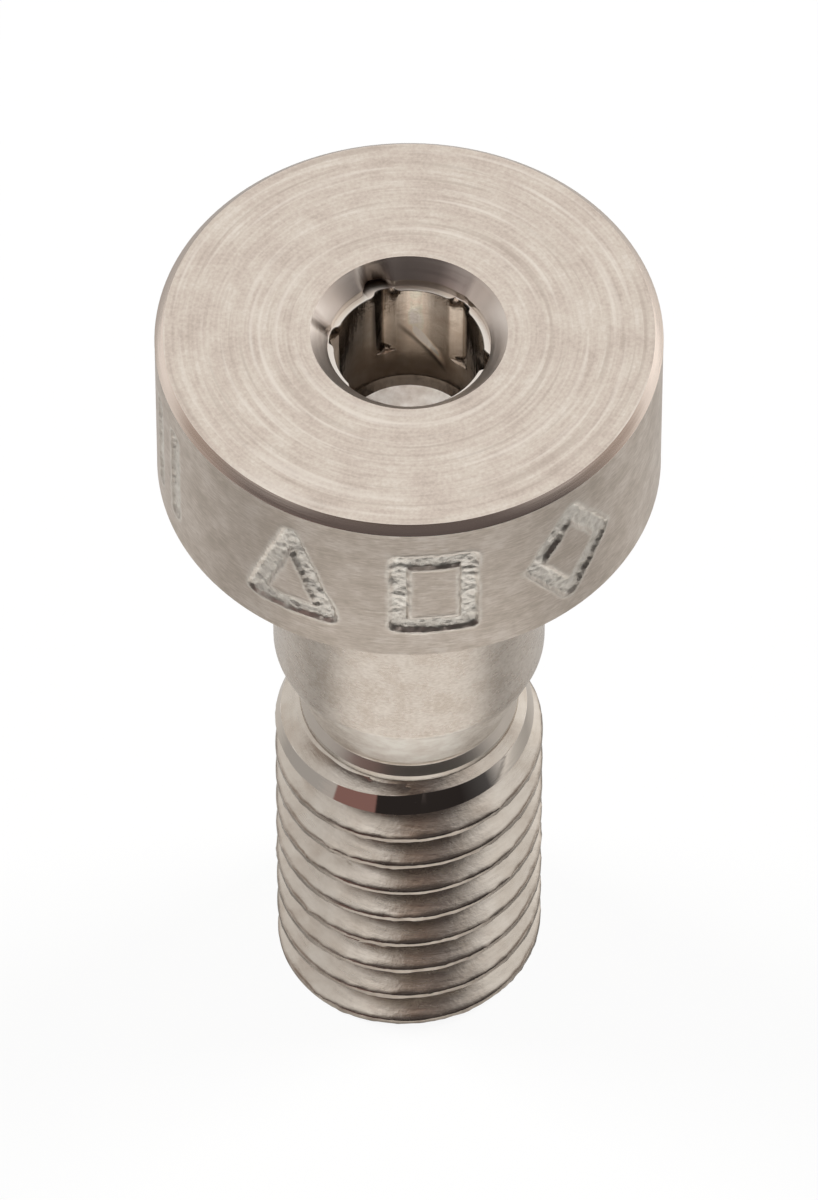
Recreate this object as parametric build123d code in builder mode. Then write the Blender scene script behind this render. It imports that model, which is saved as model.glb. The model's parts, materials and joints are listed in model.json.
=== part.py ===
"""Shoulder bolt, M5 x 0.8: a cheese head with a broached 2.5 mm hexagon socket, a ground
5 mm shoulder, a turned thread relief and a right-hand thread, all one turned piece.

Frame: millimetres, +Z up along the bolt's axis. The origin is the centre of the flat
threaded end, which the bolt stands on, and the head is at the top. The front is -Y.
"""

import math
import os

from build123d import *

# Head and shoulder
HEAD_DIAMETER = 9.1
HEAD_HEIGHT = 3.6
HEAD_TOP_CHAMFER = 0.15
HEAD_UNDER_CHAMFER = 0.06
SHOULDER_DIAMETER = 4.98
SHOULDER_LENGTH = 5.05
SHOULDER_END_CHAMFER = 0.03
OVERALL_LENGTH = 17.5

# Thread, with its run-out cone, and the relief between it and the shoulder
THREAD_NOMINAL = 5.0
THREAD_PITCH = 0.8
THREAD_MAJOR_DIAMETER = 4.96
THREAD_ANGLE = 60.0
THREAD_LENGTH = 6.3
FRONT_CREST_HEIGHT = 0.16
TIP_CHAMFER = 0.04
RELIEF_DIAMETER = 3.8
RUN_OUT_ANGLE = 30.0
RELIEF_BOTTOM_RADIUS = 0.1

# Socket: a countersink, a short counterbore, six broached corners and the pilot drilling
SOCKET_ACROSS_FLATS = 2.5
SOCKET_CORNER_DIRECTION = 48.0
BROACH_DEPTH = 2.1
COUNTERSINK_DIAMETER = 3.54
COUNTERBORE_DIAMETER = 2.93
COUNTERBORE_DEPTH = 0.455
PILOT_DIAMETER = 2.68
PILOT_DEPTH = 2.97
PILOT_FLOOR_CHAMFER = 0.075

# Heights and radii worked out from them
head_radius = HEAD_DIAMETER / 2
shoulder_radius = SHOULDER_DIAMETER / 2
major_radius = THREAD_MAJOR_DIAMETER / 2
relief_radius = RELIEF_DIAMETER / 2
pilot_radius = PILOT_DIAMETER / 2
seat_height = OVERALL_LENGTH - HEAD_HEIGHT
shoulder_end = seat_height - SHOULDER_LENGTH
run_out_length = (major_radius - relief_radius) / math.tan(math.radians(RUN_OUT_ANGLE))
relief_height = THREAD_LENGTH + run_out_length
pilot_floor = OVERALL_LENGTH - PILOT_DEPTH

# The groove between the threads: 60 degree flanks and a narrow flat at the root
half_angle = math.radians(THREAD_ANGLE / 2)
sharp_height = THREAD_PITCH / 2 / math.tan(half_angle)
root_radius = THREAD_NOMINAL / 2 - sharp_height * 17 / 24
GROOVE_CLEARANCE = 0.06
groove_outside = major_radius + GROOVE_CLEARANCE
# It starts at +X, a turn and a quarter below the front's first crest and clear of the end face
groove_start = FRONT_CREST_HEIGHT - THREAD_PITCH * 5 / 4
GROOVE_TURNS = 10


def groove_half_width(radius):
    """Half the groove's width at a radius on its straight flanks."""
    crest_flat = THREAD_PITCH / 8
    at_nominal = (THREAD_PITCH - crest_flat) / 2
    return at_nominal - (THREAD_NOMINAL / 2 - radius) * math.tan(half_angle)


# One turn of the groove; each turn ends on the face where the next one starts
with BuildPart() as groove_turn:
    with BuildLine() as groove_path:
        Helix(THREAD_PITCH, THREAD_PITCH, major_radius, center=(0, 0, groove_start))
    with BuildSketch(Plane.XZ) as groove_section:
        with BuildLine():
            Polyline(
                (root_radius, groove_start - groove_half_width(root_radius)),
                (root_radius, groove_start + groove_half_width(root_radius)),
                (groove_outside, groove_start + groove_half_width(groove_outside)),
                (groove_outside, groove_start - groove_half_width(groove_outside)),
                close=True,
            )
        make_face()
    sweep(groove_section.sketch, groove_path.line, is_frenet=True)

with BuildPart() as bolt:
    # The blank: half of the bolt's outline, turned about the axis
    with BuildSketch(Plane.YZ):
        with BuildLine():
            Polyline(
                (0, 0),
                (major_radius, 0),
                (major_radius, THREAD_LENGTH),
                (relief_radius, relief_height),
                (shoulder_radius, shoulder_end),
                (shoulder_radius, seat_height),
                (head_radius, seat_height),
                (head_radius, OVERALL_LENGTH),
                (0, OVERALL_LENGTH),
                close=True,
            )
        make_face()
    revolve(axis=Axis.Z)

    def rim(radius, height):
        """The circular edge nearest to that radius and height."""
        rings = bolt.edges().filter_by(GeomType.CIRCLE)
        return min(rings, key=lambda ring: abs(ring.radius - radius) + abs(ring.arc_center.Z - height))

    fillet(rim(relief_radius, relief_height), RELIEF_BOTTOM_RADIUS)
    chamfer(rim(head_radius, OVERALL_LENGTH), HEAD_TOP_CHAMFER)
    chamfer(rim(head_radius, seat_height), HEAD_UNDER_CHAMFER)
    chamfer(rim(shoulder_radius, shoulder_end), SHOULDER_END_CHAMFER)
    chamfer(rim(major_radius, 0), TIP_CHAMFER)

    # The thread: the groove comes in through the end face and runs out in the relief
    with Locations(*[(0, 0, turn * THREAD_PITCH) for turn in range(GROOVE_TURNS)]):
        add(groove_turn.part, mode=Mode.SUBTRACT)

    # The socket's mouth: the countersink and the short counterbore that leaves the ledge
    with BuildSketch(Plane.YZ):
        with BuildLine():
            mouth_radius = COUNTERSINK_DIAMETER / 2
            bore_radius = COUNTERBORE_DIAMETER / 2
            Polyline(
                (0, OVERALL_LENGTH),
                (mouth_radius, OVERALL_LENGTH),
                (bore_radius, OVERALL_LENGTH - (mouth_radius - bore_radius)),
                (bore_radius, OVERALL_LENGTH - COUNTERBORE_DEPTH),
                (0, OVERALL_LENGTH - COUNTERBORE_DEPTH),
                close=True,
            )
        make_face()
    revolve(axis=Axis.Z, mode=Mode.SUBTRACT)

    # The pilot drilling, wider than the hexagon's flats, so that only its corners cut
    with BuildSketch(Plane.XY.offset(OVERALL_LENGTH)):
        Circle(pilot_radius)
    extrude(amount=-PILOT_DEPTH, mode=Mode.SUBTRACT)
    chamfer(rim(pilot_radius, pilot_floor), PILOT_FLOOR_CHAMFER)

    # The broached hexagon
    with BuildSketch(Plane.XY.offset(OVERALL_LENGTH)):
        RegularPolygon(
            radius=SOCKET_ACROSS_FLATS / 2,
            side_count=6,
            major_radius=False,
            rotation=SOCKET_CORNER_DIRECTION,
        )
    extrude(amount=-BROACH_DEPTH, mode=Mode.SUBTRACT)

bolt.part.label = "shoulder_bolt"
os.makedirs("parts", exist_ok=True)
export_step(bolt.part, "parts/shoulder_bolt.step")
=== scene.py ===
"""Visual model of the M5 shoulder bolt: one closed mesh in bare stainless steel.

The head and the shoulder are turned as rings of points. A Geometry Nodes tree makes the
threaded rod, and a turned envelope trims it to its flat end, run-out cone and neck. Lengths
are in millimetres until a mesh is made, and angles are in degrees from +X towards +Y, so the
front is at 270.
"""

import json
import math
from contextlib import contextmanager

import bmesh
import bpy
import numpy as np
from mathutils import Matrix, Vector, noise


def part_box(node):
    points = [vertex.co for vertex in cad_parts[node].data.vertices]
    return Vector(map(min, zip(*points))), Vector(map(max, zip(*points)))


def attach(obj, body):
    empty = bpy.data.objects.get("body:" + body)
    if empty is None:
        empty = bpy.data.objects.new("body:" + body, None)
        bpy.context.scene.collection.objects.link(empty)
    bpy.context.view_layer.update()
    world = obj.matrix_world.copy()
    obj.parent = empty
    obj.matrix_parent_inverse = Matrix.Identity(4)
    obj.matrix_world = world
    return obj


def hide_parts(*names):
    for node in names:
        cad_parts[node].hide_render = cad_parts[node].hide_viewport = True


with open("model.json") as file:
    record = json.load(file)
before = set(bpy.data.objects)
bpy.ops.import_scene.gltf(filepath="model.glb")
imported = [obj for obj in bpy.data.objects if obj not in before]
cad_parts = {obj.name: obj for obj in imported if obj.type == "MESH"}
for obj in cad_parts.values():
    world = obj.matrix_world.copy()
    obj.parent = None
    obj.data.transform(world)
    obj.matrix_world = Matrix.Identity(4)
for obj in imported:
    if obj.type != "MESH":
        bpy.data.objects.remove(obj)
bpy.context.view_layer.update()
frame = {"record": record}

MM = 0.001
FRONT = 270.0

# Sizes that the frame gives
low_corner, high_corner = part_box("shoulder_bolt")
mounts = {mount["name"]: mount for mount in frame["record"]["mounts"]}
TOP = high_corner[2] / MM
HEAD_RADIUS = (high_corner[0] - low_corner[0]) / 2 / MM
SEAT = mounts["seat"]["pos_m"][2] / MM
SHOULDER_RADIUS = mounts["shoulder"]["dims"]["r_mm"]

# Head and shoulder
HEAD_TOP_CHAMFER = 0.15
HEAD_UNDER_CHAMFER = 0.06
SHOULDER_LENGTH = 5.05
SHOULDER_END_ROUND = 0.3
EDGE_ROUND = 0.012

# Thread, run-out cone and relief
PITCH = 0.8
MAJOR_RADIUS = 2.48
ROOT_RADIUS = 2.009
# The rod's root starts this much deeper, because its rounding fills it
ROOT_SINK = 0.09
CREST_WIDTH = 0.12
CREST_AT_X = 0.36
THREAD_LENGTH = 6.3
TIP_CHAMFER = 0.03
RELIEF_RADIUS = 1.9
RELIEF_BOTTOM_RADIUS = 0.05
RUN_OUT_ANGLE = 30.0

# Socket
ACROSS_FLATS = 2.5
CORNER_DIRECTION = 48.0
BROACH_DEPTH = 2.1
COUNTERSINK_RADIUS = 1.77
COUNTERBORE_RADIUS = 1.465
COUNTERBORE_DEPTH = 0.455
PILOT_RADIUS = 1.34
PILOT_DEPTH = 2.97
PILOT_FLOOR_CHAMFER = 0.13
FLOOR_SLOPE = 19.5
FLOOR_FLAT_RADIUS = 0.55
LEDGE_BREAK_DEPTH = 0.62

SHOULDER_END = SEAT - SHOULDER_LENGTH
RUN_OUT_LENGTH = (MAJOR_RADIUS - RELIEF_RADIUS) / math.tan(math.radians(RUN_OUT_ANGLE))
RELIEF_HEIGHT = THREAD_LENGTH + RUN_OUT_LENGTH

# The kinds of node used most
MATH = "ShaderNodeMath"
VECTOR_MATH = "ShaderNodeVectorMath"
MAP_RANGE = "ShaderNodeMapRange"
MIX = "ShaderNodeMix"
RAMP = "ShaderNodeValToRGB"
NOISE = "ShaderNodeTexNoise"
SEPARATE = "ShaderNodeSeparateXYZ"
COMBINE = "ShaderNodeCombineXYZ"


# ---------------------------------------------------------------- small helpers

def add(tree, kind, inputs=(), operation=None, stops=(), **settings):
    """Add a node with its settings and links, and a colour ramp's stops.

    Inputs go by name, or in the order of those in use. Each is a value, a socket, or a node,
    which stands for its first output in use.
    """
    new = tree.nodes.new(kind)
    if operation:
        new.operation = operation
    for name, value in settings.items():
        setattr(new, name, value)
    if isinstance(inputs, dict):
        pairs = [(new.inputs[name], value) for name, value in inputs.items()]
    else:
        pairs = list(zip([socket for socket in new.inputs if socket.enabled], inputs))
    for socket, value in pairs:
        if isinstance(value, bpy.types.Node):
            value = next(output for output in value.outputs if output.enabled)
        if isinstance(value, bpy.types.NodeSocket):
            tree.links.new(value, socket)
        else:
            socket.default_value = value
    # A new ramp has two stops
    for _ in stops[2:]:
        new.color_ramp.elements.new(0.5)
    for index, (position, shade) in enumerate(stops):
        new.color_ramp.elements[index].position = position
        new.color_ramp.elements[index].color = shade
    return new


def colour(code):
    """An sRGB hex colour as the linear values that a shader takes."""
    parts = [int(code[i:i + 2], 16) / 255 for i in (1, 3, 5)]
    linear = [p / 12.92 if p <= 0.04045 else ((p + 0.055) / 1.055) ** 2.4 for p in parts]
    return (*linear, 1.0)


def grey(level):
    """A grey of a linear level, which may be above 1 for a light."""
    return (level, level, level, 1.0)


def shades(*steps):
    """A ramp's stops from (position, hex colour) steps."""
    return [(position, colour(code)) for position, code in steps]


def greys(steps, low, high):
    """A ramp's stops from (value, grey level) steps, for values that run from low to high."""
    return [((value - low) / (high - low), grey(level)) for value, level in steps]


def smooth_step(edge_0, edge_1, value):
    """From 0 to 1 between two edges, without a corner."""
    t = np.clip((value - edge_0) / (edge_1 - edge_0), 0, 1)
    return t * t * (3 - 2 * t)


def turned_from(angles, direction):
    """How far angles are turned from a direction, from -180 to 180."""
    return (angles - direction + 180) % 360 - 180


def grain(points, size):
    """Smooth noise from -1 to 1 at points in millimetres, with features of that size."""
    flat = np.asarray(points).reshape(-1, 3) / size
    values = np.array([noise.noise(Vector(p)) for p in flat])
    return values.reshape(np.asarray(points).shape[:-1])


def on_circle(angles, radius, height):
    """Points at angles round the axis; radius and height may differ from angle to angle."""
    turn = np.radians(angles)
    radius = np.broadcast_to(radius, turn.shape)
    height = np.broadcast_to(height, turn.shape)
    return np.stack([radius * np.cos(turn), radius * np.sin(turn), height], axis=-1)


def rounded(profile, radius, steps=3):
    """A profile of (radius, height) points with an arc at each inner corner."""
    result = [profile[0]]
    for before, corner, after in zip(profile, profile[1:], profile[2:]):
        b, c, a = (np.array(p, float) for p in (before, corner, after))
        into, out = (b - c) / np.linalg.norm(b - c), (a - c) / np.linalg.norm(a - c)
        turn = math.pi - math.acos(np.clip(into @ out, -1, 1))
        reach = radius * math.tan(turn / 2)
        reach = min(reach, np.linalg.norm(b - c) / 2, np.linalg.norm(a - c) / 2)
        start, end = c + into * reach, c + out * reach
        for i in range(steps + 1):
            t = i / steps
            result.append(tuple((1 - t) ** 2 * start + 2 * t * (1 - t) * c + t ** 2 * end))
    result.append(profile[-1])
    return result


def shell_mesh(name, rings, closed_start=None, closed_end=None):
    """A mesh of quads between rings of points, each end open or closed to a point on the axis."""
    count = len(rings[0])
    points = [p for ring in rings for p in ring]
    faces = []
    for row in range(len(rings) - 1):
        a, b = row * count, (row + 1) * count
        faces += [(a + i, a + (i + 1) % count, b + (i + 1) % count, b + i) for i in range(count)]
    for centre, base in ((closed_start, 0), (closed_end, (len(rings) - 1) * count)):
        if centre is not None:
            points.append((0, 0, centre))
            faces += [(len(points) - 1, base + i, base + (i + 1) % count) for i in range(count)]
    mesh = bpy.data.meshes.new(name)
    mesh.from_pydata([tuple(float(c) * MM for c in p) for p in points], [], faces)
    return mesh


@contextmanager
def edited(mesh):
    """A mesh's faces to edit, written back to it afterwards."""
    shape = bmesh.new()
    shape.from_mesh(mesh)
    yield shape
    shape.to_mesh(mesh)
    shape.free()


def evaluated(thing):
    """The thing's shape with its modifiers, as a plain mesh."""
    view = bpy.context.evaluated_depsgraph_get()
    return bpy.data.meshes.new_from_object(thing.evaluated_get(view), depsgraph=view)


def linked(name, data):
    """A new object in the scene, with a mesh, a lamp or a camera."""
    thing = bpy.data.objects.new(name, data)
    bpy.context.scene.collection.objects.link(thing)
    return thing


# ---------------------------------------------------------------- stamped marks

# Plain punched figures on the head's side: each is a list of strokes, as (across, up) points
STAMP_HEIGHT = 2.2
STAMP_WIDTH = 1.55
STROKE_WIDTH = 0.34
STAMP_DEPTH = 0.06
STAMP_LIP = 0.04
LIP_WIDTH = 0.035
STAMP_MIDDLE = TOP - 1.82
LOZENGE = [(0, 1), (1, 0), (0, -1), (-1, 0), (0, 1)]
BLOCK = [(-0.8, 0.8), (0.8, 0.8), (0.8, -0.8), (-0.8, -0.8), (-0.8, 0.8)]
TRIANGLE = [(0, 0.95), (0.95, -0.8), (-0.95, -0.8), (0, 0.95)]
LEFT_BAR = [(-0.55, 0.9), (-0.55, -0.9)]
RIGHT_BAR = [(0.55, 0.9), (0.55, -0.9)]
# Degrees round from the front, positive to the right, and the strokes
STAMPS = [(-27.7, [TRIANGLE]), (5.7, [BLOCK]), (39.2, [LOZENGE]), (-72.0, [LEFT_BAR, RIGHT_BAR])]
STAMP_SPAN = 14.0
# The head's side starts this far below the top, in this many rings
SIDE_START = 0.21
SIDE_RINGS = 88


def stroke_distance(across, up, strokes):
    """How far each point is from the nearest stroke's centre line, in millimetres."""
    nearest = np.full(across.shape, np.inf)
    scale = np.array([STAMP_WIDTH / 2, STAMP_HEIGHT / 2])
    for stroke in strokes:
        for start, end in zip(stroke, stroke[1:]):
            s, e = np.array(start) * scale, np.array(end) * scale
            d = e - s
            t = np.clip(((across - s[0]) * d[0] + (up - s[1]) * d[1]) / (d @ d), 0, 1)
            nearest = np.minimum(nearest, np.hypot(across - s[0] - t * d[0], up - s[1] - t * d[1]))
    return nearest


def stamp_relief(angles, heights):
    """How far the head's side stands out or in at each angle and height, and how much is stroke."""
    relief = np.zeros((len(heights), len(angles)))
    struck = np.zeros_like(relief)
    half = STROKE_WIDTH / 2
    for offset, strokes in STAMPS:
        turn = turned_from(angles - FRONT, offset)
        near = np.abs(turn) < STAMP_SPAN
        across, up = np.meshgrid(np.radians(turn[near]) * HEAD_RADIUS, heights - STAMP_MIDDLE)
        place = np.stack([across + offset, up, np.zeros_like(up)], axis=-1)
        wander = 0.035 * grain(place, 0.35) + 0.012 * grain(place, 0.1)
        distance = stroke_distance(across, up, strokes) + wander
        inside = 1 - smooth_step(half - 0.05, half + 0.01, distance)
        rough = 0.022 * grain(place, 0.1) + 0.02 * grain(place, 0.24)
        lip = np.exp(-((distance - half - LIP_WIDTH) / LIP_WIDTH) ** 2)
        uneven = 0.55 + 0.9 * grain(place + 7, 0.4)
        height = inside * (-STAMP_DEPTH * (0.85 + 0.4 * grain(place + 3, 0.8)) + rough)
        relief[:, near] += height + STAMP_LIP * lip * np.clip(uneven, 0, 1.3)
        struck[:, near] = np.maximum(struck[:, near], np.maximum(inside, 0.7 * lip))
    return relief, struck


# ---------------------------------------------------------------- head and socket

# Torn nicks in the socket's mouth: direction, depth and half width in degrees
NICKS = ((113, 0.24, 9.0), (168, 0.12, 3.2), (118, 0.05, 4.0), (47, 0.03, 3.0))
# Chips that the broach left curled up at the foot of two corners: direction and how far they stand in
CHIPS = ((109, 0.07), (50, 0.045))
CHIP_HALF_WIDTH = 5.0
CHIP_HALF_HEIGHT = 0.05
CHIP_LEAN = 14
MOUTH_ROUND = 0.008
# Degrees between the head's points: over the stamps, elsewhere and at the least
STAMP_STEP = 0.55
PLAIN_STEP = 2.4
LEAST_STEP = 0.12


def head_angles():
    """Angles for the head's rings, closest over the stamps and exact at the socket's corners."""
    angles, angle = [], 0.0
    while angle < 360:
        angles.append(angle)
        nearest = min(abs(turned_from(angle - FRONT, offset)) for offset, _ in STAMPS)
        angle += STAMP_STEP if nearest < STAMP_SPAN else PLAIN_STEP
    wedge = 30 - math.degrees(math.acos(ACROSS_FLATS / 2 / PILOT_RADIUS))
    for corner in range(6):
        direction = CORNER_DIRECTION + 60 * corner
        angles += [direction % 360, (direction - wedge) % 360, (direction + wedge) % 360]
    angles = np.sort(np.array(angles))
    keep = np.append(np.diff(angles) > LEAST_STEP, True)
    return angles[keep]


def socket_wall(angles, depth):
    """The socket wall's radius at a depth: the pilot drilling, with the broached corners above."""
    if depth > BROACH_DEPTH:
        return np.full(len(angles), PILOT_RADIUS)
    from_flat = (angles - CORNER_DIRECTION) % 60 - 30
    corners = ACROSS_FLATS / 2 / np.cos(np.radians(from_flat))
    broached = np.maximum(PILOT_RADIUS, corners)
    # The corners break out through the ledge
    wedge = smooth_step(PILOT_RADIUS - 0.02, PILOT_RADIUS + 0.03, corners)
    share = (LEDGE_BREAK_DEPTH - depth) / (LEDGE_BREAK_DEPTH - COUNTERBORE_DEPTH)
    share = np.clip(share, 0, 1) ** 1.5
    return broached + wedge * share * (COUNTERBORE_RADIUS - 0.012 - broached)


def socket_rings(angles):
    """Rings from the socket's sloped floor up its wall to the inner edge of its ledge."""
    rings = []
    floor = TOP - PILOT_DEPTH
    edge = PILOT_RADIUS - PILOT_FLOOR_CHAMFER
    for radius in (0.3, FLOOR_FLAT_RADIUS, 0.6, 0.8, 1.0, edge):
        sunk = (edge - max(radius, FLOOR_FLAT_RADIUS)) * math.tan(math.radians(FLOOR_SLOPE))
        rings.append(on_circle(angles, radius, floor - sunk))
    rings.append(on_circle(angles, PILOT_RADIUS, floor + PILOT_FLOOR_CHAMFER))
    # The rings crowd at the broach's end and at the ledge
    depths = [PILOT_DEPTH - 0.15, 2.5, 2.25, BROACH_DEPTH + 0.004, BROACH_DEPTH - 0.004]
    depths += [2.06, 2.02, 1.97, 1.85, 1.6, 1.3, 1.0, 0.75, LEDGE_BREAK_DEPTH, 0.57, 0.52]
    depths += [COUNTERBORE_DEPTH + 0.01]
    for depth in depths:
        radius = socket_wall(angles, depth)
        below = depth - BROACH_DEPTH
        for direction, lift in CHIPS:
            turn = turned_from(angles, direction)
            chip = np.exp(-((turn - CHIP_LEAN * below) / CHIP_HALF_WIDTH) ** 2)
            radius = radius - lift * chip * math.exp(-(((below + 0.03) / CHIP_HALF_HEIGHT) ** 2))
        rings.append(on_circle(angles, radius, TOP - depth))
    ledge = socket_wall(angles, COUNTERBORE_DEPTH) + 0.012
    ledge = np.minimum(ledge, COUNTERBORE_RADIUS - 0.004)
    rings.append(on_circle(angles, ledge, TOP - COUNTERBORE_DEPTH))
    return rings


def head_rings(angles):
    """Rings from the socket's floor, over the top and down to the seat, with how torn each point is."""
    rings = socket_rings(angles)
    mouth = [
        (COUNTERBORE_RADIUS - 0.01, TOP - COUNTERBORE_DEPTH + 0.001),
        (COUNTERBORE_RADIUS, TOP - COUNTERBORE_DEPTH + 0.01),
        (COUNTERBORE_RADIUS, TOP - (COUNTERSINK_RADIUS - COUNTERBORE_RADIUS)),
        (COUNTERSINK_RADIUS, TOP),
        (2.1, TOP),
    ]
    nick = np.zeros(len(angles))
    for direction, depth, width in NICKS:
        nick += depth * np.exp(-((turned_from(angles, direction) / width) ** 4))
    torn = []
    for radius, height in rounded(mouth, MOUTH_ROUND, 2):
        share = np.clip((TOP - height) / COUNTERBORE_DEPTH, 0, 1) ** 1.5 if radius < 1.6 else 0
        torn.append((len(rings), np.clip(nick * share / 0.1, 0, 1)))
        rings.append(on_circle(angles, radius + nick * share, height))
    for radius in (2.7, 3.3, 3.9, 4.25):
        rings.append(on_circle(angles, radius, TOP))
    crown = [
        (4.3, TOP),
        (HEAD_RADIUS - HEAD_TOP_CHAMFER, TOP),
        (HEAD_RADIUS, TOP - HEAD_TOP_CHAMFER),
        (HEAD_RADIUS, TOP - 0.25),
    ]
    for radius, height in rounded(crown, EDGE_ROUND)[1:-1]:
        rings.append(on_circle(angles, radius, height))
    first_side = len(rings)
    heights = np.linspace(TOP - SIDE_START, SEAT + HEAD_UNDER_CHAMFER + 0.05, SIDE_RINGS)
    relief, struck = stamp_relief(angles, heights)
    for height, stands in zip(heights, relief):
        rings.append(on_circle(angles, HEAD_RADIUS - 0.002 + np.minimum(stands, 0.002), height))
    base = [
        (HEAD_RADIUS, SEAT + 0.1),
        (HEAD_RADIUS, SEAT + HEAD_UNDER_CHAMFER),
        (HEAD_RADIUS - HEAD_UNDER_CHAMFER, SEAT),
        (4.4, SEAT),
    ]
    for radius, height in rounded(base, EDGE_ROUND)[1:-1]:
        rings.append(on_circle(angles, radius, height))
    amount = np.zeros((len(rings), len(angles)))
    amount[first_side:first_side + len(heights)] = struck
    for row, share in torn:
        amount[row] = share
    return rings, amount


# ---------------------------------------------------------------- shoulder and relief

AROUND = 160
SHANK_ANGLES = np.arange(0, 360, 360 / AROUND)
JOINT_HEIGHT = 7.45
# The thread's tool left a plain collar above its last groove
COLLAR_HIGH = 7.11
COLLAR_LOW = 6.98
COLLAR_FLARE = 0.013
COLLAR_UNDERCUT = 0.085
UNDERCUT_DROP = 0.025
COLLAR_ROUND = 0.02


def taper_radius(height):
    """The radius of the relief's taper, from the neck up to the shoulder."""
    share = (height - RELIEF_HEIGHT) / (SHOULDER_END - RELIEF_HEIGHT)
    return RELIEF_RADIUS + (SHOULDER_RADIUS - RELIEF_RADIUS) * share


def shoulder_rings():
    """Rings from the seat's inner edge down the shoulder and into the relief."""
    end = SHOULDER_END
    profile = [(SHOULDER_RADIUS, SEAT)]
    profile += [(SHOULDER_RADIUS, height) for height in np.linspace(SEAT - 0.1, end + 0.15, 14)]
    edge = [
        (SHOULDER_RADIUS, end + 0.15),
        (SHOULDER_RADIUS, end),
        (taper_radius(end - 0.2), end - 0.2),
    ]
    profile += rounded(edge, SHOULDER_END_ROUND, 5)[1:-1]
    profile += [(taper_radius(h), h) for h in np.linspace(end - 0.2, JOINT_HEIGHT, 8)]
    return [on_circle(SHANK_ANGLES, radius, height) for radius, height in profile]


# ---------------------------------------------------------------- thread

CREST_ROUND = 0.09
ROOT_ROUND = 0.5
FLANK_ANGLE = 30.0
# A crest's torn lips: how high they stand, how wide they fade and how long each tear is
BURR = 0.018
BURR_WIDTH = 0.035
TEAR_LENGTH = 0.22
# How much the rows crowd towards the crests: 0 is even, and below 1 they stay in order
CROWDING = 0.6
# The rod swells by this much above its last groove
SWELL = 0.5
MERGE_DISTANCE = 0.0005


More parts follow.
